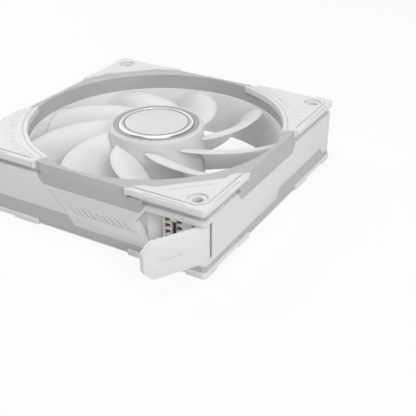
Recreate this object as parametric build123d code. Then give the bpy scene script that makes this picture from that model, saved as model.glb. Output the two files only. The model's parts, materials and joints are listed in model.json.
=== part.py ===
from build123d import *
from math import atan2, cos, degrees, hypot, radians, sin, sqrt, tan
import os

os.makedirs("parts", exist_ok=True)

# Computer case fan, 120 mm square and 30 mm deep, lying on its exhaust side.
# The spin axis is Z, the exhaust face is z = 0 and the intake face is z = 30.
# The connector bay is at the right end of the front wall (y = -60).
# A name ending in _drop is measured down from the intake face, and one ending
# in _margin or _reach is measured inwards from the frame's outer size.

# Envelope and case screws
frame_size = 120.0
frame_depth = 30.0
corner_r = 2.0
screw_inset = 7.5
screw_hole_d = 4.4
screw_head_d = 7.7
screw_head_depth = 1.15
screw_bevel = 0.4
half = frame_size / 2
hole_at = half - screw_inset
hole_r = screw_hole_d / 2
corner_signs = ((-1, -1), (1, -1), (1, 1), (-1, 1))
corner_names = ("front_left", "front_right", "back_right", "back_left")

# White frame core between the two light rings
wall_inset = 0.6
core_bottom = 5.0
core_drop = 5.8
duct_margin = 3.7
duct_wall = 1.0
duct_lift = 0.3
wall = half - wall_inset
core_top = frame_depth - core_drop
core_height = core_top - core_bottom
duct_r = half - duct_margin
duct_outer_r = duct_r + duct_wall

# Windows in each wall, where the light rings show; the shares are of the half width
window_drop = 9.7
window_high = 9.1
upper_window_share = (-0.262, 0.512)
lower_window_share = (-0.82, -0.0717)
window_slope = 3.9
window_depth = 5.0
window_low = frame_depth - window_drop

# Engraved marks on the front wall
mark_depth = 0.45
slash_count = 9
slash_pitch = 3.3
slash_start = (-4.0, 13.7)
slash_run = (3.7, -2.6)
slash_width = 0.9
slash_dot_r = 0.3
slash_dot_gap = 0.8
scribe_line = ((-13.4, 18.7), (-4.9, 10.5))
scribe_width = 0.45

# Light rings
bore_margin = 3.1
ring_collar = 1.4
collar_drop = 8.0
ring_flange = 1.8
ring_top_drop = 0.7
crease_drop = 4.2
ring_draft = 0.8
ring_bottom = 0.7
ring_hole_gap = 0.2
ring_setback = 1.2
bulge_inset = 2.5
fit_gap = 0.1
ring_bore_r = half - bore_margin
ring_collar_bottom = frame_depth - collar_drop
ring_top = frame_depth - ring_top_drop
ring_crease = frame_depth - crease_drop

# Corner pads
upper_pad_height = 4.0
lower_pad_height = 2.6
pad_reach = 35.2
pad_knee_margin = (29.5, 5.4)
pad_waist_margin = (25.5, 6.1)
pad_arc_margin = 3.8
pad_arc_reach = 39.5
pad_arc_slant = 5.4
pad_arc_depth = 8.0
pad_arc_drop = 3.2
pad_lip = 2.9
ridge_width = 4.2
ridge_groove = 0.7
ridge_line = 0.6
lip_line = (1.7, 0.35, 0.25)
rebate_width = 0.9
rebate_depth = 0.9
rebate_span_margin = (26.6, 8.7)
plateau_margin = 2.5
plateau_corner = 3.1
plateau_rise = 0.5
pad_scribe_margin = ((20.4, 6.3), (7.9, 18.9))
pad_scribe_width = 0.4
pad_scribe_depth = 0.25
tick_count = 13
tick_spread = 24.0
tick_gap = 0.9
tick_length = 2.4
tick_width = 0.3
tick_depth = 0.2
pad_arc_r = half - pad_arc_margin

# Impeller
blade_count = 9
blade_gap = 1.1
blade_skin = 1.2
blade_tail = 0.3
blade_overrun = (3.0, 2.8)
hub_top_r = 21.0
hub_base_r = 21.9
hub_drop = 2.05
hub_bottom = 6.0
hub_wall = 1.5
hub_lid = 1.2
hub_recess_r = 19.2
hub_recess_depth = 1.5
hub_edge = 0.8
hub_taper_height = 4.0
hub_boss_r = 3.7
shade_drop = 0.5
trim_outer_r = 17.0
trim_inner_r = 15.5
trim_rise = 0.3
seat_gap = 0.02
cap_r = 15.3
cap_rise = 0.45
cap_line_r = 14.7
cap_line_width = 0.6
cap_line_depth = 0.2
blade_tip_r = duct_r - blade_gap
hub_top = frame_depth - hub_drop
hub_floor = hub_top - hub_recess_depth
lid_bottom = hub_floor - hub_lid

# One blade, by station from root to tip: angles in degrees, the leading edge down from
# the intake face, the trailing edge up from the exhaust face, and the bow of its section
lead_angle = (5.0, 22.6, 36.6, 49.4, 62.5)
trail_angle = (56.0, 65.0, 69.5, 75.5, 86.0)
lead_drop = (7.0, 6.8, 6.8, 7.2, 7.7)
trail_height = (6.6, 6.2, 6.0, 5.9, 6.0)
blade_camber = (0.16, 0.14, 0.12, 0.10, 0.08)

# Motor
shaft_r = 1.5
shaft_clearance = 0.03
shaft_bottom = 3.1
shaft_chamfer = 0.4
bearing_outer_r = 4.0
bearing_bottom = 4.6
bearing_drop = 2.45
tube_wall = 1.0
tube_bottom = 1.0
tube_lip = 0.6
cap_thickness = 1.2
thrust_thickness = 0.8
thrust_gap = 0.3
clip_thickness = 0.4
clip_bottom = 3.8
clip_r = 2.8
clip_groove = 0.3
clip_mouth = 1.0
yoke_wall = 1.0
yoke_bottom = 6.6
boss_wall = 1.6
boss_height = 3.2
magnet_wall = 1.6
magnet_bottom = 7.4
magnet_lip = 2.0
air_gap = 0.5
core_low = 9.0
core_lip = 2.8
pole_count = 6
tooth_width = 3.4
tooth_root_r = 7.4
shoe_r = 13.4
shoe_angle = 48.0
shoe_overlap = 1.2
insulator = 0.8
coil_build = 1.3
coil_start_r = 7.9
coil_end_r = 12.9
coil_fillet = 1.0
board_r = 16.6
board_bottom = 4.0
board_thickness = 1.0
board_gap = 0.3
chip_height = 0.9
driver_chip = (4.5, 4.0)
driver_place = (-1.75, -12.5)
sensor_chip = (3.0, 2.4)
sensor_place = (0.0, 14.8)
base_r = 21.6
base_bottom = 1.0
base_floor = 2.4
base_rim = 1.3
base_rim_top = 5.4
base_boss = 1.2
post_r = 1.6
post_circle_r = 12.4
rotor_inner_r = hub_top_r - hub_wall
magnet_outer_r = rotor_inner_r - yoke_wall
magnet_inner_r = magnet_outer_r - magnet_wall
stator_r = magnet_inner_r - air_gap
tube_outer_r = bearing_outer_r + tube_wall
boss_bottom = lid_bottom - boss_height
bearing_top = boss_bottom - bearing_drop
tube_top = bearing_top + tube_lip
core_high = tube_top - core_lip
magnet_top = core_high + magnet_lip
board_top = board_bottom + board_thickness

# Rear struts, and the flat lead in the wide one
strut_count = 4
strut_angle = 5.0
strut_sweep = 20.0
strut_width = 3.0
strut_overlap = 1.5
strut_end_overlap = 0.5
lead_strut_width = 7.0
strut_bottom = 1.0
strut_height = 4.2
channel_width = 4.6
channel_depth = 1.6
flex_width = 4.0
flex_thickness = 0.3
flex_gap = 0.15
rise_shift = 1.3
rise_half = 1.2
rise_depth = 6.5
tunnel_drop = 4.8
foot_length = 1.0
lead_strut = strut_count - 1

# Connector bay
bay_margin = 2.0
bay_sink = 0.2
bay_reach = 32.1
bay_tip_rise = 0.5
bay_shoulder_reach = 26.3
door_recess = 3.2
scoop_reach = 27.9
scoop_depth = 1.2
pocket_reach = (21.6, 10.2)
pocket_margin = 1.2
pocket_back = 6.9
funnel_reach = 27.3
funnel_margin = 0.1
post_slot_reach = (8.0, 6.8)
post_slot_back = 5.6
block_front = 4.4
contact_rows = 4
contact_pitch = 2.7
contact_reach = (19.2, 14.0)
contact_width = 1.3
contact_thickness = 0.25
contact_clearance = 0.3
contact_slot = 1.0
leaf_foot = 0.6
leaf_knee = 0.7
leaf_tip = 0.5
leaf_curl = 0.9
connector_board_thickness = 0.9
latch_reach = (17.7, 15.5)
latch_half = 3.4
bay_mid = (core_bottom + core_top) / 2 - bay_sink
bay_half_height = core_height / 2 - bay_margin
bay_tip = (half - bay_reach, bay_mid + bay_tip_rise)
bay_shoulder = half - bay_shoulder_reach
pocket = [half - reach for reach in pocket_reach]
pocket_half_height = bay_half_height - pocket_margin

# Connector door
door_reach = 28.7
door_thickness = 3.0
door_gap = 0.2
door_chamfer = 3.6
pivot_margin = (2.5, 3.5)
pin_r = 0.8
pin_clearance = 0.04
pin_seat = 0.2
barrel_r = 2.0
heel_mitre = (2.25, 2.9)
socket_r = 3.2
door_rest_angle = 60.0
door_bar_reach = (23.0, 13.6)
door_bar_depth = 0.4
door_bar_height = 1.3
hook_reach = 16.6
hook_width = 1.2
hook_stem = 1.2
hook_stem_height = 2.0
tab_offset = (5.2, 7.6)
tab_width = 1.0
tab_reach = 1.0
tab_inset = 0.3
tab_height = 2.2
prong_length = 2.0
prong_height = 1.0
prong_angle = 32.0
door_height = 2 * (bay_half_height - door_gap)
pivot = (half - pivot_margin[0], pivot_margin[1] - half)

# LED boards in the corners
led_board = (9.0, 5.0)
led_board_thickness = 0.8
led_size = 1.6
led_height = 0.7
led_offset = 2.4
led_margin = 18.85
led_board_gap = 0.4
led_reach = (half * sqrt(2) - led_margin) / sqrt(2)


def cylinder(radius, low, high, x=0.0, y=0.0):
    return Pos(x, y, low) * Cylinder(radius, high - low, align=(Align.CENTER, Align.CENTER, Align.MIN))


def tube(outer, inner, low, high):
    return cylinder(outer, low, high) - cylinder(inner, low - 1, high + 1)


def block(x_low, x_high, y_low, y_high, z_low, z_high):
    shape = Box(x_high - x_low, y_high - y_low, z_high - z_low, align=(Align.MIN, Align.MIN, Align.MIN))
    return Pos(x_low, y_low, z_low) * shape


def standing_box(length, width, height):
    return Box(length, width, height, align=(Align.CENTER, Align.CENTER, Align.MIN))


def rounded_square(side, radius, low, high):
    return Pos(0, 0, low) * extrude(RectangleRounded(side, side, radius), high - low)


def prism(points, low, high):
    return Pos(0, 0, low) * extrude(make_face(Polyline(*points, close=True)), high - low)


def wall_prism(points, depth_low, depth_high):
    # points are (x, z) on the front wall; depth is measured inwards from the frame's outer size
    solid = extrude(make_face(Polyline(*points, close=True)), depth_high - depth_low)
    return Pos(0, depth_high - half, 0) * Rot(90, 0, 0) * solid


def on_all_walls(shape):
    # the front wall's form, mirrored over the front right corner, and both turned half round
    pair = [shape, mirror(shape, Plane(origin=(0, 0, 0), z_dir=(1, 1, 0)))]
    return pair + [Rot(0, 0, 180) * one for one in pair]


def cut_all(shape, tools):
    for tool in tools:
        shape = shape - tool
    return shape


def fuse_all(shapes):
    total = shapes[0]
    for shape in shapes[1:]:
        total = total + shape
    return total


def screw_holes(radius):
    return [cylinder(radius, -1, frame_depth + 1, sx * hole_at, sy * hole_at) for sx, sy in corner_signs]


def polar(radius, angle, z=0.0):
    return (radius * cos(radians(angle)), radius * sin(radians(angle)), z)


def save(node, shape):
    solids = shape.solids()
    export_step(solids[0] if len(solids) == 1 else Compound(children=solids), f"parts/{node}.step")


# Windows in each wall, where the light rings show
def upper_window_shape(gap=0.0):
    left, right = [half * share for share in upper_window_share]
    low = window_low + gap
    knee = core_top + 1 + gap
    points = ((left + gap, low), (right - gap, low), (right + window_slope, knee),
              (right + window_slope, frame_depth), (left - window_slope, frame_depth), (left - window_slope, knee))
    return wall_prism(points, -1, window_depth)


def lower_window_shape(gap=0.0):
    left, right = [half * share for share in lower_window_share]
    high = window_high - gap
    knee = core_bottom - 1
    points = ((left + gap, high), (right - gap, high), (right + window_slope, knee),
              (right + window_slope, -1), (left - window_slope, -1), (left - window_slope, knee))
    return wall_prism(points, -1, window_depth)


# Engraved on the front wall: nine slashes with a dot each and one long scribed line
def wall_marks():
    depth = wall_inset + mark_depth
    marks = []
    for index in range(slash_count):
        x = slash_start[0] + index * slash_pitch
        z = slash_start[1]
        low_x = x + slash_run[0]
        low_z = z + slash_run[1]
        marks.append(wall_prism(((x, z), (low_x, low_z), (low_x + slash_width, low_z), (x + slash_width, z)),
                                -1, depth))
        dot = cylinder(slash_dot_r, 0, 1 + depth)
        marks.append(Pos(low_x + slash_width + slash_dot_gap, depth - half, low_z) * Rot(90, 0, 0) * dot)
    (x, z), (low_x, low_z) = scribe_line
    marks.append(wall_prism(((x, z), (low_x, low_z), (low_x + scribe_width, low_z), (x + scribe_width, z)),
                            -1, depth))
    return marks


# The struts lean: a root on the motor base and a tip on the duct, further round
def strut_ends(index):
    angle = strut_angle + index * 360 / strut_count
    return polar(base_r - strut_overlap, angle), polar(duct_r + strut_end_overlap, angle + strut_sweep)


def strut_box(index, width, low, high, overrun=0.0):
    start, end = strut_ends(index)
    run = hypot(end[0] - start[0], end[1] - start[1]) + overrun
    heading = degrees(atan2(end[1] - start[1], end[0] - start[0]))
    bar = Box(run, width, high - low, align=(Align.MIN, Align.CENTER, Align.MIN))
    return Pos(start[0], start[1], low) * Rot(0, 0, heading) * bar


# Way of the flat lead: along the wide strut, up inside the front wall, and across to the bay
def lead_path(gap):
    tip = strut_ends(lead_strut)[1]
    side = flex_width / 2 + gap
    low = strut_bottom + channel_depth - flex_thickness - gap
    high = low + flex_thickness + 2 * gap
    x = tip[0] + rise_shift
    x_low = x - rise_half - gap
    x_high = x + rise_half + gap
    y = rise_depth - wall
    tunnel_z = bay_mid - tunnel_drop
    in_strut = strut_box(lead_strut, 2 * side, low, high, overrun=rise_half)
    foot = block(x_low, x_high, y - gap, tip[1] + foot_length, low, high)
    rise = block(x_low, x_high, y - gap, y + flex_thickness + gap, low, tunnel_z + side)
    tunnel = block(x_low, pocket[0], y - gap, y + flex_thickness + gap,
                   tunnel_z - side, tunnel_z + side)
    return in_strut + foot + rise + tunnel


# Connector bay: the door's recess, a finger scoop, the contact pocket and the barrel's socket
def bay_cut():
    low = bay_mid - bay_half_height
    high = bay_mid + bay_half_height
    outline = (bay_tip, (bay_shoulder, low), (half + 1, low), (half + 1, high), (bay_shoulder, high))
    recess = wall_prism(outline, -1, wall_inset + door_recess)
    scoop_x = half - scoop_reach
    share = (scoop_x - bay_tip[0]) / (bay_shoulder - bay_tip[0])
    scoop_outline = (bay_tip, (scoop_x, bay_tip[1] + share * (low - bay_tip[1])),
                     (scoop_x, bay_tip[1] + share * (high - bay_tip[1])))
    scoop = wall_prism(scoop_outline, 0, wall_inset + door_recess + scoop_depth)
    mouth = Plane.XZ.offset(wall - door_recess)
    wide = pocket_face(half - funnel_reach, bay_half_height - funnel_margin)
    deep = pocket_face(pocket[0], pocket_half_height)
    funnel = loft([mouth * wide, mouth.offset(door_recess - pocket_back) * deep])
    hole = block(pocket[0], pocket[1], -wall, pocket_back - wall,
                 bay_mid - pocket_half_height, bay_mid + pocket_half_height)
    slot = [half - reach for reach in post_slot_reach]
    post_slot = block(slot[0], slot[1], -wall, post_slot_back - wall,
                      bay_mid - pocket_half_height, bay_mid + pocket_half_height)
    socket = cylinder(socket_r, low, high, *pivot)
    return fuse_all([recess, scoop, funnel, hole, post_slot, socket])


def pocket_face(left, half_height):
    low = bay_mid - half_height
    high = bay_mid + half_height
    return make_face(Polyline((left, low), (pocket[1], low), (pocket[1], high), (left, high), close=True))


# Frame: walls, duct and corner posts
def make_frame():
    body = rounded_square(2 * wall, corner_r, core_bottom, core_top)
    body = cut_all(body, on_all_walls(upper_window_shape()) + on_all_walls(lower_window_shape()))
    body = body - cylinder(ring_bore_r + ring_collar + fit_gap, ring_collar_bottom, core_top + 1)
    body = body + cylinder(duct_outer_r, duct_lift, ring_collar_bottom)
    body = body - cylinder(duct_r, -1, frame_depth)
    body = cut_all(body, screw_holes(hole_r))
    body = cut_all(body, [led_pocket(sx, sy, top) for sx, sy in corner_signs for top in (True, False)])
    body = body - bay_cut()
    body = body - cylinder(pin_r, core_bottom + pin_seat, core_top + 1, *pivot)
    body = cut_all(body, wall_marks())
    return body - lead_path(flex_gap)


# Motor base: a shallow dish with the seat of the bearing tube, and the struts
def make_motor_base():
    base = cylinder(base_r, base_bottom, base_floor)
    base = base + tube(base_r, base_r - base_rim, base_bottom, base_rim_top)
    base = base + cylinder(tube_outer_r + base_boss, base_bottom, board_bottom)
    inside = tube(duct_r, base_r - base_rim, 0, frame_depth)
    for index in range(strut_count):
        width = lead_strut_width if index == lead_strut else strut_width
        base = base + (strut_box(index, width, strut_bottom, strut_bottom + strut_height) & inside)
    base = base - strut_box(lead_strut, channel_width, strut_bottom - 1, strut_bottom + channel_depth)
    for angle in (60, 180, 300):
        base = base + cylinder(post_r, base_floor, board_bottom, *polar(post_circle_r, angle)[:2])
    base = base - cylinder(tube_outer_r, -1, board_bottom + 1)
    return base - lead_path(flex_gap)


# LED boards: one in a pocket of each corner post, under each light ring
def led_place(sx, sy, z):
    return Pos(sx * led_reach, sy * led_reach, z) * Rot(0, 0, degrees(atan2(sy, sx)) + 90)


def led_pocket(sx, sy, top):
    height = led_board_thickness + led_height
    low, high = (core_top - height, core_top + 1) if top else (core_bottom - 1, core_bottom + height)
    return led_place(sx, sy, low) * standing_box(led_board[0] + led_board_gap, led_board[1] + led_board_gap,
                                                 high - low)


def make_led_boards(top):
    board = standing_box(led_board[0], led_board[1], led_board_thickness)
    for offset in (-led_offset, led_offset):
        board = board + Pos(offset, 0, led_board_thickness) * standing_box(led_size, led_size, led_height)
    if not top:
        board = mirror(board, Plane.XY)
    face = core_top - led_board_thickness - led_height if top else core_bottom + led_board_thickness + led_height
    return Compound(children=[led_place(sx, sy, face) * board for sx, sy in corner_signs])


# Corner pads: those in front_right and back_left have a straight inner edge, the others an arc
def pad_outline(index, grow=0.0):
    sx, sy = corner_signs[index]
    edge = half + 1
    if index % 2:
        start = half - pad_reach - grow
        knee = [half - margin - grow for margin in pad_knee_margin]
        waist = [half - margin - grow for margin in pad_waist_margin]
        inner = (knee, waist, waist[::-1], knee[::-1])
    else:
        start = half - pad_arc_reach - grow
        inner = ((start - pad_arc_slant, half - pad_arc_depth), (half - pad_arc_depth, start - pad_arc_slant))
    points = ((start, edge), (start, wall), *inner, (wall, start), (edge, start), (edge, edge))
    return [(sx * x, sy * y) for x, y in points]


def plateau_border(sx, sy, high):
    # the rim outside the plateau, which the screw hole's bevel cuts at the corner
    edge = half + 1
    near = half - plateau_margin
    bevel = near - plateau_corner
    points = ((0, edge), (0, near), (bevel, near), (near, bevel), (near, 0), (edge, 0), (edge, edge))
    return prism([(sx * x, sy * y) for x, y in points], high - plateau_rise, high + 1)


def pad_scribe(sx, sy, high):
    (x_start, y_start), (x_end, y_end) = [(half - a, half - b) for a, b in pad_scribe_margin]
    points = ((x_start, y_start), (x_end, y_end), (x_end + pad_scribe_width, y_end),
              (x_start + pad_scribe_width, y_start))
    return prism([(sx * x, sy * y) for x, y in points], high - pad_scribe_depth, high + 1)


def pad_ticks(sx, sy, high, ridge_r):
    # short marks along X beside the arc ridge
    ticks = []
    for number in range(tick_count):
        angle = 45 + tick_spread * (2 * number / (tick_count - 1) - 1)
        x, y = polar(ridge_r + tick_gap, angle)[:2]
        xs = sorted((sx * x, sx * (x + tick_length)))
        ticks.append(block(xs[0], xs[1], sy * y - tick_width / 2, sy * y + tick_width / 2,
                           high - tick_depth, high + 1))
    return ticks


def edge_rebates(sx, sy, face, into):
    low, high = sorted((face - into, face + into * rebate_depth))
    along = [half - reach for reach in rebate_span_margin]
    across = (half - rebate_width, half + 1)
    rebates = []
    for spans in ((along, across), (across, along)):
        xs, ys = sorted(sx * x for x in spans[0]), sorted(sy * y for y in spans[1])
        rebates.append(block(xs[0], xs[1], ys[0], ys[1], low, high))
    return rebates


def make_pad(index, upper):
    sx, sy = corner_signs[index]
    low, high = (frame_depth - upper_pad_height, frame_depth) if upper else (0.0, lower_pad_height)
    face, into = (high, -1) if upper else (low, 1)
    straight = index % 2
    pad = prism(pad_outline(index), low, high) & rounded_square(frame_size, corner_r, low, high)
    if not straight:
        arc_r = pad_arc_r if upper else duct_outer_r + board_gap
        pad = pad - cylinder(arc_r, low - 1, high + 1)
        if upper:
            pad = pad - cylinder(pad_arc_r + pad_lip, low - 1, frame_depth - pad_arc_drop)
        line_low, line_high = sorted((face, face + into * ridge_groove))
        pad = pad - tube(arc_r + ridge_width + ridge_line, arc_r + ridge_width, line_low, line_high)
        offset, width, depth = lip_line
        line_low, line_high = sorted((face, face + into * depth))
        pad = pad - tube(arc_r + offset + width, arc_r + offset, line_low, line_high)
    hole = (sx * hole_at, sy * hole_at)
    pad = pad - cylinder(hole_r, low - 1, high + 1, *hole)
    if upper:
        head_r = screw_head_d / 2
        pad = pad - cylinder(head_r, high - screw_head_depth, high + 1, *hole)
        bevel = Cone(head_r, head_r + screw_bevel, screw_bevel, align=(Align.CENTER, Align.CENTER, Align.MAX))
        pad = pad - Pos(hole[0], hole[1], high) * bevel
        pad = pad - plateau_border(sx, sy, high)
        if straight:
            pad = pad - pad_scribe(sx, sy, high)
        else:
            pad = cut_all(pad, pad_ticks(sx, sy, high, arc_r + ridge_width + ridge_line))
    return cut_all(pad, edge_rebates(sx, sy, face, into))


# Light rings: a flange under the pads, a skirt in each window and, in front, a collar in the duct
def make_front_ring():
    outer = rounded_square(2 * wall, corner_r, window_low, ring_crease)
    slope = extrude(Pos(0, 0, ring_crease) * RectangleRounded(2 * wall, 2 * wall, corner_r),
                    ring_top - ring_crease, taper=degrees(atan2(ring_draft, ring_top - ring_crease)))
    collar = cylinder(ring_bore_r + ring_collar, ring_collar_bottom, ring_top)
    skirt = fuse_all([shape & outer for shape in on_all_walls(upper_window_shape(fit_gap))])
    flange = rounded_square(2 * wall, corner_r, core_top, ring_crease)
    body = flange + slope + (collar & (outer + slope)) + skirt
    body = cut_all(body, [prism(pad_outline(index, fit_gap), core_top + ring_flange, frame_depth + 1)
                          for index in range(len(corner_signs))])
    arc_step = cylinder(pad_arc_r + pad_lip + fit_gap, frame_depth - pad_arc_drop, frame_depth + 1)
    body = cut_all(body, [arc_step & prism(pad_outline(index, fit_gap), 0, frame_depth + 1) for index in (0, 2)])
    body = body - cylinder(duct_outer_r + fit_gap, 0, ring_collar_bottom)
    body = body - cylinder(ring_bore_r, 0, frame_depth + 1) - corner_setback()
    return cut_all(body, screw_holes(hole_r + ring_hole_gap))


def corner_setback():
    # towards the corners the front ring stands back from the wall, and it bulges out in each window
    left, right = [half * share for share in upper_window_share]
    left = left - window_slope + bulge_inset
    right = right + window_slope - bulge_inset
    band = rounded_square(frame_size + 2, corner_r, core_top, frame_depth + 1)
    band = band - rounded_square(2 * (wall - ring_setback), corner_r, core_top, frame_depth + 1)
    middle = Pos((left + right) / 2, 2 * ring_setback - wall, core_top)
    bulge = middle * extrude(RectangleRounded(right - left, 4 * ring_setback, ring_setback), frame_depth + 1 - core_top)
    return cut_all(band, on_all_walls(bulge))


def make_rear_ring():
    outer = rounded_square(2 * wall, corner_r, ring_bottom, window_high)
    flange = rounded_square(2 * wall, corner_r, ring_bottom, core_bottom)
    body = flange + fuse_all([shape & outer for shape in on_all_walls(lower_window_shape(fit_gap))])
    body = cut_all(body, [prism(pad_outline(index, fit_gap), -1, lower_pad_height)
                          for index in range(len(corner_signs))])
    body = body - cylinder(duct_outer_r + fit_gap, -1, frame_depth)
    body = body - lead_path(flex_gap)
    return cut_all(body, screw_holes(hole_r + ring_hole_gap))


# Blades: thin airfoils on upright planes across the radius, lofted from inside the hub to past the tip
def blade_section(index):
    inner = hub_top_r - blade_overrun[0]
    outer = blade_tip_r + blade_overrun[1]
    radius = inner + (outer - inner) * index / (len(lead_angle) - 1)
    middle = (lead_angle[index] + trail_angle[index]) / 2
    reach = radius * tan(radians((trail_angle[index] - lead_angle[index]) / 2))
    high = frame_depth - lead_drop[index]
    low = trail_height[index]
    bow = blade_camber[index] * hypot(2 * reach, high - low)
    slope = atan2(high - low, 2 * reach)

    def point(along, offset):
        # along runs from -1 at the leading edge to 1 at the trailing edge
        rise = bow * (1 - along * along) + offset
        return (along * reach + rise * sin(slope), (high + low) / 2 - along * (high - low) / 2 + rise * cos(slope))

    skin = blade_skin / 2
    tail = blade_tail / 2
    upper = Spline(point(-1, 0), point(-0.93, skin * 0.75), point(-0.4, skin), point(0.4, skin * 0.8),
                   point(1, tail))
    lower = Spline(point(-1, 0), point(-0.93, -skin * 0.75), point(-0.4, -skin), point(0.4, -skin * 0.8),
                   point(1, -tail))
    face = make_face([upper, lower, Line(point(1, tail), point(1, -tail))])
    return Plane(origin=polar(radius, middle), x_dir=polar(1, middle + 90), z_dir=polar(1, middle)) * face


def hub_profile(inner):
    shoulder = hub_top - hub_taper_height
    return ((inner, hub_bottom), (hub_base_r, hub_bottom), (hub_top_r + seat_gap, shoulder),
            (hub_top_r, hub_top - hub_edge), (hub_top_r - hub_edge, hub_top))


def make_hub():
    profile = hub_profile(rotor_inner_r) + ((hub_recess_r, hub_top), (hub_recess_r, hub_floor),
                                            (hub_boss_r, hub_floor), (hub_boss_r, lid_bottom),
                                            (rotor_inner_r, lid_bottom))
    return revolve(Plane.XZ * make_face(Polyline(*profile, close=True)), Axis.Z)


def make_cap():
    # the line is one plain engraved circle
    top = hub_top + cap_rise
    return cylinder(cap_r, hub_floor, top) - tube(cap_line_r, cap_line_r - cap_line_width, top - cap_line_depth, top + 1)


def make_blade():
    solid_hub = revolve(Plane.XZ * make_face(Polyline(*hub_profile(0), (0, hub_top), close=True)), Axis.Z)
    blade = loft([blade_section(index) for index in range(len(lead_angle))])
    return (blade & cylinder(blade_tip_r, 0, frame_depth)) - solid_hub


# Rotor
def make_yoke():
    cup = cylinder(rotor_inner_r, yoke_bottom, lid_bottom)
    cup = cup - cylinder(magnet_outer_r, yoke_bottom - 1, lid_bottom - yoke_wall)
    boss = cylinder(shaft_r + boss_wall, boss_bottom, lid_bottom)
    return cup + boss - cylinder(shaft_r, 0, frame_depth)


def make_shaft():
    shaft = cylinder(shaft_r, shaft_bottom, hub_floor)
    shaft = chamfer(shaft.edges().group_by(Axis.Z)[0], shaft_chamfer)
    return shaft - tube(shaft_r + 1, shaft_r - clip_groove, clip_bottom, clip_bottom + clip_thickness)


def make_clip():
    clip = tube(clip_r, shaft_r - clip_groove, clip_bottom, clip_bottom + clip_thickness)
    return clip - block(0, clip_r + 1, -clip_mouth / 2, clip_mouth / 2, clip_bottom - 1, clip_bottom + 2)


# Stator
def core_shape(low, high):
    core = cylinder(tooth_root_r, low, high)
    wedge = prism([(0, 0), polar(2 * stator_r, -shoe_angle / 2)[:2], polar(2 * stator_r, shoe_angle / 2)[:2]],
                  low, high)
    shoe = tube(stator_r, shoe_r, low, high) & wedge
    tooth = block(0, shoe_r + shoe_overlap, -tooth_width / 2, tooth_width / 2, low, high)
    for index in range(pole_count):
        core = core + Rot(0, 0, index * 360 / pole_count) * (tooth + shoe)
    return core - cylinder(tube_outer_r, low - 1, high + 1)


def make_insulators():
    return Compound(children=[core_shape(core_low - insulator, core_low),
                              core_shape(core_high, core_high + insulator)])


def make_coils():
    inner_half = tooth_width / 2
    outer_half = inner_half + coil_build
    low = core_low - insulator
    high = core_high + insulator
    coil = block(coil_start_r, coil_end_r, -outer_half, outer_half, low - coil_build, high + coil_build)
    coil = fillet(coil.edges().filter_by(Axis.X), coil_fillet)
    coil = coil - block(0, stator_r, -inner_half, inner_half, low, high)
    return Compound(children=[Rot(0, 0, index * 360 / pole_count) * coil for index in range(pole_count)])


def make_chips():
    chips = []
    for size, place in ((driver_chip, driver_place), (sensor_chip, sensor_place)):
        chips.append(Pos(place[0], place[1], board_top) * standing_box(size[0], size[1], chip_height))
    return Compound(children=chips)


# Door: the plate is drawn closed and then swung open
def make_door():
    face_y = -wall
    back_y = face_y + door_thickness
    end_x = half - door_reach
    low = bay_mid - door_height / 2
    high = bay_mid + door_height / 2
    heel_x = pivot[0] + barrel_r
    plan = ((end_x, face_y), (heel_x - heel_mitre[0], face_y), (heel_x, face_y + heel_mitre[1]),
            (heel_x, back_y), (end_x, back_y))
    door = prism(plan, low, high)
    bevel = Rot(0, 45, 0) * Box(door_chamfer * sqrt(2), frame_size, door_chamfer * sqrt(2))
    door = door - Pos(end_x, face_y, low) * bevel - Pos(end_x, face_y, high) * bevel
    door = door + cylinder(barrel_r, low, high, *pivot)
    bar = [half - reach for reach in door_bar_reach]
    door = door - block(bar[0], bar[1], face_y - 1, face_y + door_bar_depth,
                        bay_mid - door_bar_height / 2, bay_mid + door_bar_height / 2)
    hook_x = half - hook_reach
    door = door + Pos(hook_x, back_y + hook_stem / 2, bay_mid - hook_stem_height / 2) * standing_box(
        hook_width, hook_stem, hook_stem_height)
    prong = block(-hook_width / 2, hook_width / 2, 0, prong_length, -prong_height / 2, prong_height / 2)
    for side in (-1, 1):
        place = Pos(hook_x, back_y + hook_stem / 2, bay_mid + side * prong_height / 2)
        door = door + place * Rot(side * prong_angle, 0, 0) * prong
    for offset in tab_offset:
        for z in (low + tab_inset, high - tab_inset - tab_height):
            door = door + Pos(end_x + offset, back_y + tab_reach / 2, z) * standing_box(
                tab_width, tab_reach, tab_height)
    door = door - cylinder(pin_r + pin_clearance, low - 1, high + 1, *pivot)
    swing = Pos(pivot[0], pivot[1], 0) * Rot(0, 0, door_rest_angle) * Pos(-pivot[0], -pivot[1], 0)
    return swing * door


# Contact block, spring contacts and their board
def contact_places():
    for reach in contact_reach:
        for row in range(contact_rows):
            yield half - reach, bay_mid + (row - (contact_rows - 1) / 2) * contact_pitch


def make_contact_block():
    front = block_front - wall
    back = pocket_back - connector_board_thickness - wall
    shape = block(pocket[0], pocket[1], front, back,
                  bay_mid - pocket_half_height, bay_mid + pocket_half_height)
    latch = [half - reach for reach in latch_reach]
    shape = shape - block(latch[0], latch[1], front - 1, back + 1, bay_mid - latch_half, bay_mid + latch_half)
    for x, z in contact_places():
        shape = shape - block(x - contact_slot, x + contact_slot, front - 1, back + 1,
                              z - contact_width / 2, z + contact_width / 2)
    return shape


def make_contacts():
    contacts = []
    back = pocket_back - connector_board_thickness - wall
    front = door_thickness + contact_clearance - wall
    for x, z in contact_places():
        leaf = Polyline((x - contact_slot, back), (x - contact_slot, back - leaf_foot),
                        (x + leaf_knee, front + leaf_tip), (x, front), (x - leaf_curl, front + leaf_curl))
        strip = extrude(make_face(strip_outline(leaf, contact_thickness)), contact_width)
        contacts.append(Pos(0, 0, z - contact_width / 2) * strip)
    return Compound(children=contacts)


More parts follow.
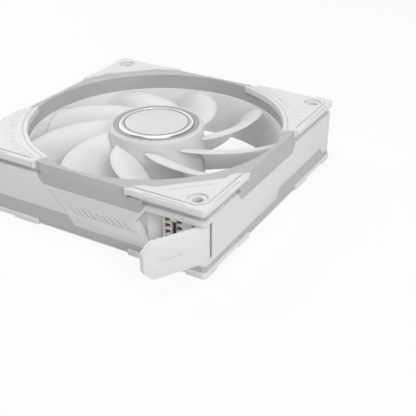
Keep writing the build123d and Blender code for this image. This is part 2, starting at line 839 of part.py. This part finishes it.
def strip_outline(path, thickness):
    # a closed outline of even thickness along an open path in the XY plane
    points = [path @ 0] + [edge @ 1 for edge in path.edges()]
    shifted = []
    for index, point in enumerate(points):
        before = points[max(index - 1, 0)]
        after = points[min(index + 1, len(points) - 1)]
        run = (after - before).normalized()
        shifted.append(point + Vector(-run.Y, run.X) * thickness)
    return Polyline(*points, *reversed(shifted), close=True)


def make_connector_board():
    back = pocket_back - wall
    return block(pocket[0], pocket[1], back - connector_board_thickness, back,
                 bay_mid - pocket_half_height, bay_mid + pocket_half_height)


save("frame_body", make_frame())
save("motor_base", make_motor_base())
save("front_light_ring", make_front_ring())
save("rear_light_ring", make_rear_ring())
for corner, name in enumerate(corner_names):
    save(f"top_pad_{name}", make_pad(corner, True))
    save(f"bottom_pad_{name}", make_pad(corner, False))
save("front_led_boards", make_led_boards(True))
save("rear_led_boards", make_led_boards(False))
save("bearing_tube", tube(tube_outer_r, bearing_outer_r, tube_bottom + cap_thickness, tube_top))
save("sleeve_bearing", tube(bearing_outer_r, shaft_r + shaft_clearance, bearing_bottom, bearing_top))
save("bearing_end_cap", cylinder(tube_outer_r, tube_bottom, tube_bottom + cap_thickness))
save("thrust_pad", cylinder(bearing_outer_r - thrust_gap, tube_bottom + cap_thickness,
                            tube_bottom + cap_thickness + thrust_thickness))
save("stator_core", core_shape(core_low, core_high))
save("stator_insulators", make_insulators())
save("windings", make_coils())
save("motor_board", tube(board_r, tube_outer_r + board_gap, board_bottom, board_top))
save("board_chips", make_chips())
save("motor_lead", lead_path(0.0))
save("contact_block", make_contact_block())
save("spring_contacts", make_contacts())
save("connector_board", make_connector_board())
save("door_hinge_pin", cylinder(pin_r, core_bottom + pin_seat, core_top, *pivot))
save("connector_door", make_door())
save("impeller_hub", make_hub())
one_blade = make_blade()
for number in range(blade_count):
    save(f"blade_{number + 1}", Rot(0, 0, number * 360 / blade_count) * one_blade)
save("rotor_yoke", make_yoke())
save("rotor_magnet", tube(magnet_outer_r, magnet_inner_r, magnet_bottom, magnet_top))
save("rotor_shaft", make_shaft())
save("shaft_clip", make_clip())
save("hub_shade_ring", tube(hub_recess_r, trim_outer_r, hub_floor, hub_top - shade_drop))
save("hub_trim_ring", tube(trim_outer_r - seat_gap, trim_inner_r, hub_floor, hub_top + trim_rise))
save("hub_cap", make_cap())
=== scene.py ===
import bpy
import bmesh
import json
from math import pi, radians
from mathutils import Matrix, Vector


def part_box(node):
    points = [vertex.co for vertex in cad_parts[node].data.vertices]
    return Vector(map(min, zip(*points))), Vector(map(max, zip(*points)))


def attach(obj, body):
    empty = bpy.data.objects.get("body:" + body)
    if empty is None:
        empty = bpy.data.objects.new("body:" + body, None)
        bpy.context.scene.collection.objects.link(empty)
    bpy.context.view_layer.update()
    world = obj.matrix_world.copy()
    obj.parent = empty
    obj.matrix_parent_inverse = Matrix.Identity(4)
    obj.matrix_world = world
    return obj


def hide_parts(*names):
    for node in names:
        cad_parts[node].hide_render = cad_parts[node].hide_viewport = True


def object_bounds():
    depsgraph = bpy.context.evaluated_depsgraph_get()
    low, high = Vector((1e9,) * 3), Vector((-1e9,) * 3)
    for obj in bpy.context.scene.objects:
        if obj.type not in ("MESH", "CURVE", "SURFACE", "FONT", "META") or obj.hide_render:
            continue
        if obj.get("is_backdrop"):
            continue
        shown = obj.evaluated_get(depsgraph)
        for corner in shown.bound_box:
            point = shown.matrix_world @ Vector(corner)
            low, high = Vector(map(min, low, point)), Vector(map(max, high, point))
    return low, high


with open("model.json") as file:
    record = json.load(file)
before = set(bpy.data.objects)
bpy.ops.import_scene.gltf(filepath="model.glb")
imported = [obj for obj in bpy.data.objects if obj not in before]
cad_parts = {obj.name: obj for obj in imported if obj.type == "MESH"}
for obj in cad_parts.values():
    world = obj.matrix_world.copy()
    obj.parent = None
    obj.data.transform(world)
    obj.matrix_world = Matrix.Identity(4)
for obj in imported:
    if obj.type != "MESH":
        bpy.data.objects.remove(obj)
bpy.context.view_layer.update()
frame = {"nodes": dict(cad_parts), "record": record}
nodes = frame["nodes"]
scene = bpy.context.scene
mm = 0.001
print("frame loaded:", len(nodes), "nodes")


# Shader maths: an expression on values adds its Math nodes
class Value:
    def __init__(self, nodeTree, socket):
        self.nodeTree = nodeTree
        self.socket = socket

    def math(self, operation, *values):
        return self.nodeTree.node("ShaderNodeMath", {"operation": operation}, dict(enumerate(values)))

    def __add__(self, other):
        return self.math("ADD", self, other)

    def __radd__(self, other):
        return self.math("ADD", other, self)

    def __sub__(self, other):
        return self.math("SUBTRACT", self, other)

    def __rsub__(self, other):
        return self.math("SUBTRACT", other, self)

    def __mul__(self, other):
        return self.math("MULTIPLY", self, other)

    def __rmul__(self, other):
        return self.math("MULTIPLY", other, self)

    def root(self):
        return self.math("SQRT", self)

    def size(self):
        return self.math("ABSOLUTE", self)

    def clamped(self):
        result = self.math("ADD", self, 0.0)
        result.socket.node.use_clamp = True
        return result


class NodeTree:
    # the nodes of a material or of the world
    def __init__(self, tree):
        self.tree = tree

    def node(self, kind, settings, inputs, output=0):
        made = self.tree.nodes.new(kind)
        for key, value in settings.items():
            setattr(made, key, value)
        for key, value in inputs.items():
            if isinstance(value, Value):
                self.tree.links.new(value.socket, made.inputs[key])
            else:
                made.inputs[key].default_value = value
        return Value(self, made.outputs[output])

    def whiteForCamera(self, shaderNode, outputNode, kind, share):
        # the camera, mirrors and clear parts see that share of plain white, and the light stays as it is
        seen = self.node("ShaderNodeLightPath", {}, {}, "Is Camera Ray")
        for ray in ("Is Glossy Ray", "Is Transmission Ray"):
            seen = seen.math("MAXIMUM", seen, self.node("ShaderNodeLightPath", {}, {}, ray))
        lit = Value(self, self.tree.nodes[shaderNode].outputs[0])
        glow = self.node(kind, {}, {"Color": (1, 1, 1, 1)})
        blend = self.node("ShaderNodeMixShader", {}, {0: seen * share, 1: lit, 2: glow})
        self.tree.links.new(blend.socket, self.tree.nodes[outputNode].inputs["Surface"])


class Skin(NodeTree):
    # one material, with the nodes that feed its Principled shader
    def __init__(self, name, **fixed):
        self.material = bpy.data.materials.new(name)
        self.material.use_nodes = True
        super().__init__(self.material.node_tree)
        self.shader = self.tree.nodes["Principled BSDF"]
        for socket, value in fixed.items():
            self.shader.inputs[socket.replace("_", " ")].default_value = value

    def feed(self, socket, value):
        self.tree.links.new(value.socket, self.shader.inputs[socket])

    def place(self):
        return self.node("ShaderNodeTexCoord", {}, {}, "Object")

    def radius(self):
        # distance from the fan's axis, in metres
        place = self.place()
        x, y = (self.node("ShaderNodeSeparateXYZ", {}, {0: place}, part) for part in ("X", "Y"))
        return (x * x + y * y).root()

    def noise(self, scale, detail=4.0):
        return self.node("ShaderNodeTexNoise", {}, {"Vector": self.place(), "Scale": scale, "Detail": detail})

    def crevice(self, reach, inside=False):
        # 1 on open faces, less in grooves, or along outer edges when it looks inside
        return self.node("ShaderNodeAmbientOcclusion", {"samples": 8, "inside": inside, "only_local": True},
                         {"Distance": reach * mm}, "AO")

    def cells(self, scale):
        return self.node("ShaderNodeTexVoronoi", {}, {"Vector": self.place(), "Scale": scale})

    def mix(self, mask, first, second):
        return self.node("ShaderNodeMix", {"data_type": "RGBA"}, {0: mask, 6: first, 7: second}, 2)

    def bump(self, height, strength, distance):
        self.feed("Normal", self.node("ShaderNodeBump", {}, {"Height": height, "Strength": strength,
                                                             "Distance": distance}))


def grey(level, warmth=0.0):
    # a photo grey from 0 to 255 as a linear colour
    share = level / 255
    linear = ((share + 0.055) / 1.055) ** 2.4
    return (linear * (1 + warmth), linear, linear * (1 - warmth), 1.0)


# What all moulded plastics share: scales of the tone's clouds and the pits, steps of grey, and lengths in mm, with
# the painted groove shade, the painted highlight level and the reaches of both
moulding = {"ior": 1.46, "cloudScale": 45.0, "cloudDetail": 3.0, "cloudGain": 1.6, "cloudFrom": 0.3, "toneStep": 2,
            "fineDetail": 6.0, "pitShare": 0.6, "grooveShadeStep": 60, "bright": 254, "grooveShadeReach": 0.9, "ridgeHighlightHalf": 1.2,
            "edgeHighlightReach": 0.35, "edgeHighlightFrom": 0.3, "fineShine": 0.14, "cloudShine": 0.05, "fineHeight": 0.6,
            "pitHeight": 0.4, "bump": 0.3}


def mouldedPlastic(name, level, rough, grain, depth, warmth=0.0, milky=0.0, reach=0.0, boreLight=None, grooveShade=0.0,
                   edges=0.0, ridgeHighlightRadius=0.0):
    # eroded mould grain, a little uneven in tone and shine, with painted light where asked: a lighter bore, painted
    # shade in grooves and painted highlights on outer edges and at a ridge's foot; milky plastic lets light through
    skin = Skin(name, Roughness=rough, IOR=moulding["ior"])
    cloud = skin.noise(moulding["cloudScale"], moulding["cloudDetail"])
    fine = skin.noise(grain, moulding["fineDetail"])
    pits = skin.cells(grain * moulding["pitShare"])
    patches = (cloud * moulding["cloudGain"] - moulding["cloudFrom"]).clamped()
    tone = skin.mix(patches, grey(level - moulding["toneStep"], warmth), grey(level + moulding["toneStep"], warmth))
    if boreLight:
        # painted light: the inside of the duct is painted whiter than the walls, standing in for light bounced into
        # it
        boreRadius, boreLightLevel = boreLight
        inside = ((boreRadius * mm - skin.radius()) * (1 / mm)).clamped()
        tone = skin.mix(inside, tone, grey(boreLightLevel))
    if grooveShade:
        # painted shade: the base colour turns darker in grooves and creases, where shade falls
        grooveShadeColour = grey(level - moulding["grooveShadeStep"], warmth)
        if ridgeHighlightRadius:
            # painted highlight: a bright band at the foot of the round ridge, where its flank would catch the light
            away = (skin.radius() - ridgeHighlightRadius * mm).size()
            near = ((moulding["ridgeHighlightHalf"] * mm - away) * (2 / mm)).clamped()
            grooveShadeColour = skin.mix(near, grooveShadeColour, grey(moulding["bright"]))
        tone = skin.mix(((1 - skin.crevice(moulding["grooveShadeReach"])) * grooveShade).clamped(), tone, grooveShadeColour)
    if edges:
        # painted highlight: outer edges are painted lighter, as if they caught the light
        edgeHighlight = (1 - skin.crevice(moulding["edgeHighlightReach"], True)) * edges - moulding["edgeHighlightFrom"]
        tone = skin.mix(edgeHighlight.clamped(), tone, grey(moulding["bright"]))
    skin.feed("Base Color", tone)
    middle = (moulding["fineShine"] + moulding["cloudShine"]) / 2
    skin.feed("Roughness", fine * moulding["fineShine"] + cloud * moulding["cloudShine"] + (rough - middle))
    skin.bump(fine * moulding["fineHeight"] + pits * moulding["pitHeight"], moulding["bump"], depth)
    if milky:
        skin.shader.inputs["Subsurface Weight"].default_value = milky
        skin.shader.inputs["Subsurface Radius"].default_value = (1.0, 1.0, 0.96)
        skin.shader.inputs["Subsurface Scale"].default_value = reach
    return skin.material


def polishedTrim(name, look):
    # a bright inner band and a flank painted darker from one radius to the next: a painted dark reflection on the
    # polished metal
    skin = Skin(name, Metallic=1.0)
    width = look["darkBy"] - look["darkFrom"]
    share = ((skin.radius() - look["darkFrom"] * mm) * (1 / width / mm)).clamped()
    skin.feed("Base Color", skin.mix(share, grey(look["crestLevel"]), grey(look["darkReflectionLevel"])))
    skin.feed("Roughness", skin.noise(look["grain"]) * look["shine"] + (look["rough"] - look["shine"] / 2))
    return skin.material


def metal(name, colour, rough, grain, wear=0.2, shine=0.14):
    # uneven shine and slightly darker patches, as on plated or turned metal
    skin = Skin(name, Metallic=1.0)
    fine = skin.noise(grain, 5.0)
    darker = tuple((1 - wear) * part for part in colour[:3]) + (1.0,)
    skin.feed("Base Color", skin.mix(fine, darker, colour))
    skin.feed("Roughness", fine * shine + (rough - shine / 2))
    return skin.material


# Finishes by the record's material slots: grey level, roughness, grain scale and grain depth in metres; the named
# settings add painted light: a lighter bore, painted shade in grooves, painted highlights on edges and at the pads'
# ridge
skins = {
    "white_plastic": mouldedPlastic("frameWhite", 232, 0.44, 4200.0, 0.00004, boreLight=(58.6, 252), grooveShade=0.5,
                                    edges=1.6),
    "pad_plastic": mouldedPlastic("padWhite", 238, 0.46, 4200.0, 0.00004, grooveShade=1.1, edges=1.6, ridgeHighlightRadius=60.9),
    "blade_plastic": mouldedPlastic("bladeMilky", 250, 0.42, 2600.0, 0.00001, milky=0.8, reach=0.006, edges=1.2),
    "frosted_plastic": mouldedPlastic("frostedRing", 196, 0.52, 3600.0, 0.00003, milky=0.3, reach=0.002, grooveShade=0.4,
                                      edges=0.6),
    "cap_plastic": mouldedPlastic("capWhite", 230, 0.36, 3000.0, 0.00001),
    "shade_plastic": mouldedPlastic("shadeGrey", 172, 0.45, 3000.0, 0.00001),
    "trim_chrome": metal("brightTrim", (0.72, 0.72, 0.73, 1), 0.1, 900.0, 0.06),
    "board": mouldedPlastic("boardGreen", 70, 0.4, 2000.0, 0.00001),
    "led_board": mouldedPlastic("boardWhite", 225, 0.4, 2000.0, 0.00001),
    "chip": mouldedPlastic("chipBlack", 45, 0.5, 2000.0, 0.00001),
    "steel": metal("steel", (0.62, 0.62, 0.64, 1), 0.3, 700.0),
    "lamination": metal("lamination", (0.42, 0.42, 0.44, 1), 0.45, 700.0),
    "bronze": metal("bronze", (0.55, 0.38, 0.22, 1), 0.5, 700.0),
    "brass": metal("brass", (0.72, 0.56, 0.30, 1), 0.3, 700.0),
    "contact_metal": metal("contactMetal", (0.46, 0.34, 0.19, 1), 0.33, 2500.0, 0.45),
    "copper": metal("copper", (0.72, 0.38, 0.20, 1), 0.35, 700.0),
    "magnet": mouldedPlastic("magnet", 60, 0.6, 1000.0, 0.00002),
    "insulator": mouldedPlastic("insulator", 225, 0.5, 1000.0, 0.00001),
    "dark_plastic": mouldedPlastic("darkPlastic", 60, 0.5, 1000.0, 0.00001),
    "lead_film": mouldedPlastic("leadFilm", 190, 0.4, 1000.0, 0.00001, 0.3),
}
doorWhite = mouldedPlastic("doorWhite", 236, 0.46, 4200.0, 0.00004, grooveShade=0.3, edges=1.4)
inlayMetal = metal("capLineMetal", (0.30, 0.30, 0.31, 1), 0.25, 900.0)
print("materials made:", len(skins) + 2)


def slotOf(name):
    return next(part["material_slot"] for part in frame["record"]["subparts"] if part["node"] == name)


def bodyOf(name):
    bodies = frame["record"]["behaviour"]["bodies"]
    return next(body for body, members in bodies.items() if name in members)


def skinOf(name):
    # the door and the contact block get less painted shade in their grooves than the pads and the frame
    return doorWhite if name in ("connector_door", "contact_block") else skins[slotOf(name)]


for name, node in nodes.items():
    node.data.materials.clear()
    node.data.materials.append(skinOf(name))
print("CAD nodes painted")


def finished(name, shape, skin, crease):
    # a mesh object at the origin, smooth but for the edges that turn more than the crease angle
    for face in shape.faces:
        face.smooth = True
    for edge in shape.edges:
        edge.smooth = len(edge.link_faces) == 2 and edge.calc_face_angle(pi) < radians(crease)
    mesh = bpy.data.meshes.new(name)
    shape.to_mesh(mesh)
    shape.free()
    mesh.materials.append(skin)
    piece = bpy.data.objects.new(name, mesh)
    scene.collection.objects.link(piece)
    return piece


# Under each top pad the side falls back to the ring's flange: from a height, by a width, and over the square whose
# half side and corner radius are given, all in mm
padFall = {"from": 27.4, "by": 1.1, "half": 60.0, "corner": 4.0, "near": 0.02}


def fallBack(shape):
    half, corner = padFall["half"] * mm, padFall["corner"] * mm
    bmesh.ops.bisect_plane(shape, geom=shape.verts[:] + shape.edges[:] + shape.faces[:], dist=1e-7,
                           plane_co=(0, 0, padFall["from"] * mm), plane_no=(0, 0, 1))
    foot = min(vert.co.z for vert in shape.verts)
    for vert in shape.verts:
        flat = Vector((abs(vert.co.x), abs(vert.co.y)))
        centre = Vector((min(flat.x, half - corner), min(flat.y, half - corner)))
        out = flat - centre
        if vert.co.z < foot + padFall["near"] * mm and out.length > corner - padFall["near"] * mm:
            flat = centre + out * (1 - padFall["by"] * mm / out.length)
            vert.co.x = flat.x if vert.co.x > 0 else -flat.x
            vert.co.y = flat.y if vert.co.y > 0 else -flat.y


# Rounded outer edges: lengths in mm and angles in degrees
rounding = {"merge": 0.002, "flat": 0.2, "sharp": 30.0, "segments": 2, "crease": 40.0, "ringCrease": 10.0}


def softened(name, width):
    # a copy of the CAD node with its outer edges rounded takes the node's place
    shape = bmesh.new()
    shape.from_mesh(nodes[name].data)
    bmesh.ops.remove_doubles(shape, verts=shape.verts, dist=rounding["merge"] * mm)
    if name.startswith("top_pad"):
        fallBack(shape)
    bmesh.ops.dissolve_limit(shape, angle_limit=radians(rounding["flat"]), verts=shape.verts, edges=shape.edges)
    edges = [edge for edge in shape.edges if len(edge.link_faces) == 2 and edge.is_convex
             and edge.calc_face_angle() > radians(rounding["sharp"])]
    bmesh.ops.bevel(shape, geom=edges, offset=width * mm, segments=rounding["segments"], profile=0.5,
                    affect="EDGES", material=-1, clamp_overlap=False)
    least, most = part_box(name)
    for vert in shape.verts:
        # a bevel that meets a short edge stays inside the node's own box
        vert.co = [min(max(part, low), high) for part, low, high in zip(vert.co, least, most)]
    layer = shape.loops.layers.float_vector.get("custom_normal")  # the CAD's own normals don't fit the new faces
    if layer:
        shape.loops.layers.float_vector.remove(layer)
    piece = finished(name + "Soft", shape, skinOf(name), rounding["ringCrease" if "ring" in name else "crease"])
    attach(piece, bodyOf(name))
    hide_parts(name)


edgeWidths = {"connector_door": 0.15, "frame_body": 0.1, "front_light_ring": 0.12, "rear_light_ring": 0.1,
              "contact_block": 0.1, "hub_cap": 0.12, "motor_base": 0.15}
for corner in ("front_left", "front_right", "back_right", "back_left"):
    edgeWidths["top_pad_" + corner] = 0.14
    edgeWidths["bottom_pad_" + corner] = 0.14
for name, width in edgeWidths.items():
    softened(name, width)
print("outer edges softened:", len(edgeWidths), "nodes")


turnSteps = 160  # in a full turn


def spun(name, outline, skin, bevels=()):
    # a closed outline of (radius, height) in mm turned about the fan's axis; bevels are (corner, width, segments)
    shape = bmesh.new()
    points = [shape.verts.new((radius * mm, 0, height * mm)) for radius, height in outline]
    edges = [shape.edges.new(pair) for pair in zip(points, points[1:] + points[:1])]
    bmesh.ops.spin(shape, geom=points + edges, cent=(0, 0, 0), axis=(0, 0, 1), dvec=(0, 0, 0), angle=2 * pi,
                   steps=turnSteps, use_merge=True, use_normal_flip=False, use_duplicate=False)
    bmesh.ops.recalc_face_normals(shape, faces=shape.faces)
    for corner, width, segments in bevels:
        radius, height = outline[corner]
        hoop = [edge for edge in shape.edges
                if all(abs(end.co.z - height * mm) < 1e-6 and abs(end.co.to_2d().length - radius * mm) < 1e-6
                       for end in edge.verts)]
        bmesh.ops.bevel(shape, geom=hoop, offset=width * mm, segments=segments, profile=0.5, affect="EDGES",
                        material=-1, clamp_overlap=False)
    return finished(name, shape, skin, rounding["crease"])


# Bright bead round the hub cap: its crest slopes down to the outer side, and the flank is painted darker as a
# painted dark reflection
bead = {"outer": 17.0, "crest": 16.05, "inner": 15.5, "rise": 0.15, "slope": 0.62, "rounds": (0.12, 0.3, 0.12),
        "segments": 6, "darkFrom": 16.3, "darkBy": 16.5, "crestLevel": 240, "darkReflectionLevel": 138, "rough": 0.22,
        "shine": 0.06, "grain": 900.0}
low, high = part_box("hub_trim_ring")
bottom, top = low.z / mm, high.z / mm + bead["rise"]
section = ((bead["inner"], bottom), (bead["outer"], bottom), (bead["outer"], top - bead["slope"]),
           (bead["crest"], top), (bead["inner"], top))
upperCorners = [(corner + 2, width, bead["segments"]) for corner, width in enumerate(bead["rounds"])]
trimBead = spun("hubTrimBead", section, polishedTrim("beadMetal", bead), upperCorners)
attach(trimBead, "impeller")
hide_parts("hub_trim_ring")

# The grey groove's floor rises towards the hub's rim, so that it shows in front as well
shade = {"inner": 17.0, "outer": 19.2, "drop": 0.15, "fall": 0.17}
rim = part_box("impeller_hub")[1].z / mm - shade["drop"]
section = ((shade["inner"], bottom), (shade["outer"], bottom), (shade["outer"], rim),
           (shade["inner"], rim - shade["fall"]))
shadeRing = spun("hubShadeRing", section, skins["shade_plastic"])
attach(shadeRing, "impeller")
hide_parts("hub_shade_ring")

# A thin metal line let into the cap's groove
capLine = {"outer": 14.68, "inner": 14.12, "depth": 0.19, "proud": 0.02}
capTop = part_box("hub_cap")[1].z / mm
section = ((capLine["inner"], capTop - capLine["depth"]), (capLine["outer"], capTop - capLine["depth"]),
           (capLine["outer"], capTop + capLine["proud"]), (capLine["inner"], capTop + capLine["proud"]))
line = spun("capLine", section, inlayMetal)
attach(line, "impeller")
print("hub bead, groove and cap line made")


# Spring contacts: each leaf is drawn out from its foot, bent a little and curled back at the tip; its path is of
# straight runs in mm and bends in degrees with their radius
leaf = {"columns": (40.5, 45.7), "middle": 14.4, "pitch": 2.7, "rows": 4, "foot": -53.45, "width": 0.95,
        "thickness": 0.22, "steps": 8, "crease": 50.0,
        "path": (("run", 0.6, 0), ("bend", 10, 0.8), ("run", 1.25, 0), ("bend", -165, 0.5), ("run", 1.3, 0))}


def drawLeaf(shape, x, z):
    width = leaf["width"] * mm / 2
    ends = [shape.verts.new((x * mm, leaf["foot"] * mm, z * mm + side * width)) for side in (-1, 1)]
    edge = shape.edges.new(ends)
    heading = Vector((0, -1, 0))
    strip = [edge]
    for kind, amount, radius in leaf["path"]:
        if kind == "run":
            made = bmesh.ops.extrude_edge_only(shape, edges=strip)["geom"]
            fresh = [part for part in made if isinstance(part, bmesh.types.BMVert)]
            bmesh.ops.translate(shape, verts=fresh, vec=heading * amount * mm)
        else:
            side = 1 if amount > 0 else -1
            across = Vector((-heading.y, heading.x, 0)) * side
            middle = (strip[0].verts[0].co + strip[0].verts[1].co) / 2
            made = bmesh.ops.spin(shape, geom=strip + list(strip[0].verts), cent=middle + across * radius * mm,
                                  axis=(0, 0, 1), dvec=(0, 0, 0), angle=radians(amount), steps=leaf["steps"],
                                  use_merge=False, use_normal_flip=False, use_duplicate=False)["geom_last"]
            heading = Matrix.Rotation(radians(amount), 3, "Z") @ heading
        strip = [part for part in made if isinstance(part, bmesh.types.BMEdge) and len(part.link_faces) == 1
                 and abs(part.verts[0].co.z - part.verts[1].co.z) > width]


leafShape = bmesh.new()
for column in leaf["columns"]:
    for row in range(leaf["rows"]):
        drawLeaf(leafShape, column, leaf["middle"] + (row - (leaf["rows"] - 1) / 2) * leaf["pitch"])
bmesh.ops.recalc_face_normals(leafShape, faces=leafShape.faces)
bmesh.ops.solidify(leafShape, geom=leafShape.faces, thickness=leaf["thickness"] * mm)
leaves = finished("springContacts", leafShape, skins["contact_metal"], leaf["crease"])
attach(leaves, "frame")
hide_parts("spring_contacts")
print("spring contacts made:", leaf["rows"] * len(leaf["columns"]))


# World and floor: the floor's size in metres, its drop in mm, its grey level and roughness, the share of plain white
# that the camera sees there, and the strength of the world's light
backdrop = {"size": 6.0, "below": 0.05, "level": 240, "rough": 0.9, "white": 0.88, "ambient": 0.3}
world = bpy.data.worlds.new("studio")
scene.world = world
world.use_nodes = True
ambient = world.node_tree.nodes["Background"]
ambient.inputs["Color"].default_value = (1, 1, 1, 1)
ambient.inputs["Strength"].default_value = backdrop["ambient"]
NodeTree(world.node_tree).whiteForCamera("Background", "World Output", "ShaderNodeBackground", 1.0)

floorMesh = bpy.data.meshes.new("floor")
floorObject = bpy.data.objects.new("floor", floorMesh)
scene.collection.objects.link(floorObject)
floorShape = bmesh.new()
bmesh.ops.create_grid(floorShape, x_segments=1, y_segments=1, size=backdrop["size"] / 2)
bmesh.ops.translate(floorShape, verts=floorShape.verts, vec=(0, 0, -backdrop["below"] * mm))
floorShape.to_mesh(floorMesh)
floorShape.free()
floorSkin = Skin("floorWhite", Roughness=backdrop["rough"], Base_Color=grey(backdrop["level"]))
floorSkin.whiteForCamera("Principled BSDF", "Material Output", "ShaderNodeEmission", backdrop["white"])
floorMesh.materials.append(floorSkin.material)
floorObject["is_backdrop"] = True

# Soft square lamps that aim at the fan: sizes in metres, powers in watts
lamps = (
    {"name": "keyLamp", "place": (0.62, -0.34, 0.48), "size": 0.35, "power": 2.6},
    {"name": "topLamp", "place": (0.02, -0.05, 0.85), "size": 0.5, "power": 2.1},
    {"name": "fillLamp", "place": (-0.6, 0.12, 0.42), "size": 0.5, "power": 1.6},
)
for lamp in lamps:
    light = bpy.data.lights.new(lamp["name"], "AREA")
    light.size = lamp["size"]
    light.energy = lamp["power"]
    lampObject = bpy.data.objects.new(lamp["name"], light)
    lampObject.location = lamp["place"]
    lampObject.rotation_mode = "QUATERNION"
    lampObject.rotation_quaternion = (-Vector(lamp["place"])).to_track_quat("-Z", "Y")
    scene.collection.objects.link(lampObject)

# The camera was fitted to the frame's corners and screw holes
view = {"place": (0.17893, -0.26410, 0.16763), "aim": (-0.433, 0.75, -0.5), "angle": 30}
cameraData = bpy.data.cameras.new("camera")
cameraData.angle = radians(view["angle"])
camera = bpy.data.objects.new("camera", cameraData)
camera.location = view["place"]
camera.rotation_mode = "QUATERNION"
camera.rotation_quaternion = Vector(view["aim"]).to_track_quat("-Z", "Y")
scene.collection.objects.link(camera)
scene.camera = camera
scene.view_settings.view_transform = "Standard"
print("floor, lights and camera set")

low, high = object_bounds()
